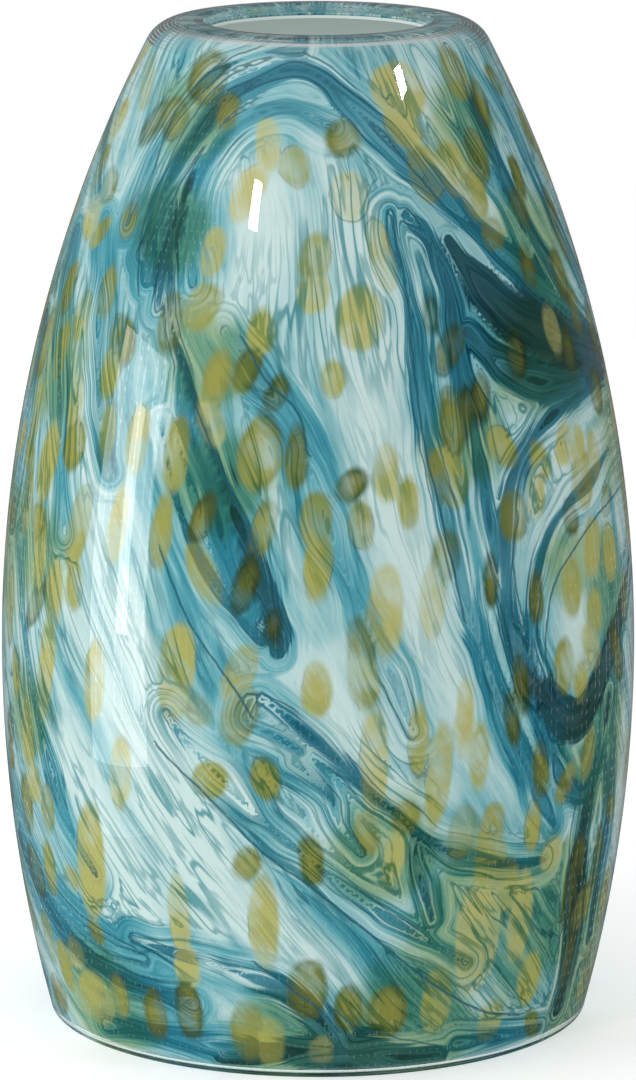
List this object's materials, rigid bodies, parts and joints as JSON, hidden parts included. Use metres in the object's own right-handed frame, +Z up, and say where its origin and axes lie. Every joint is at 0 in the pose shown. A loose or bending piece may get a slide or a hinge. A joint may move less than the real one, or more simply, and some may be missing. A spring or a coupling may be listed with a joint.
{
  "type": "art glass vase",
  "caption": "Bottle-shaped hand blown vase in cased glass, with trails and chips of coloured glass, a rounded shoulder and a small cut mouth.",
  "frame": {"origin": "middle of the ground base, in the plane the vase stands on", "axes": "+Z up along the vase's axis; -Y is the side the picture shows as its front; +X is that side's right"},
  "size_m": [0.193, 0.193, 0.305],
  "materials": {
    "clear_casing": "polished, ground at the mouth",
    "aqua_ground": "translucent",
    "teal_trails": "translucent",
    "white_wisps": "opal",
    "dark_threads": "dense",
    "olive_chips": "translucent",
    "amber_chips": "translucent",
    "opal_lining": "opal"
  },
  "bodies": {
    "root": {"clear_casing": "clear_casing", "aqua_ground": "aqua_ground", "teal_trails": "teal_trails", "white_wisps": "white_wisps", "dark_threads": "dark_threads", "olive_chips": "olive_chips", "amber_chips": "amber_chips", "opal_lining": "opal_lining"}
  },
  "joints": []
}
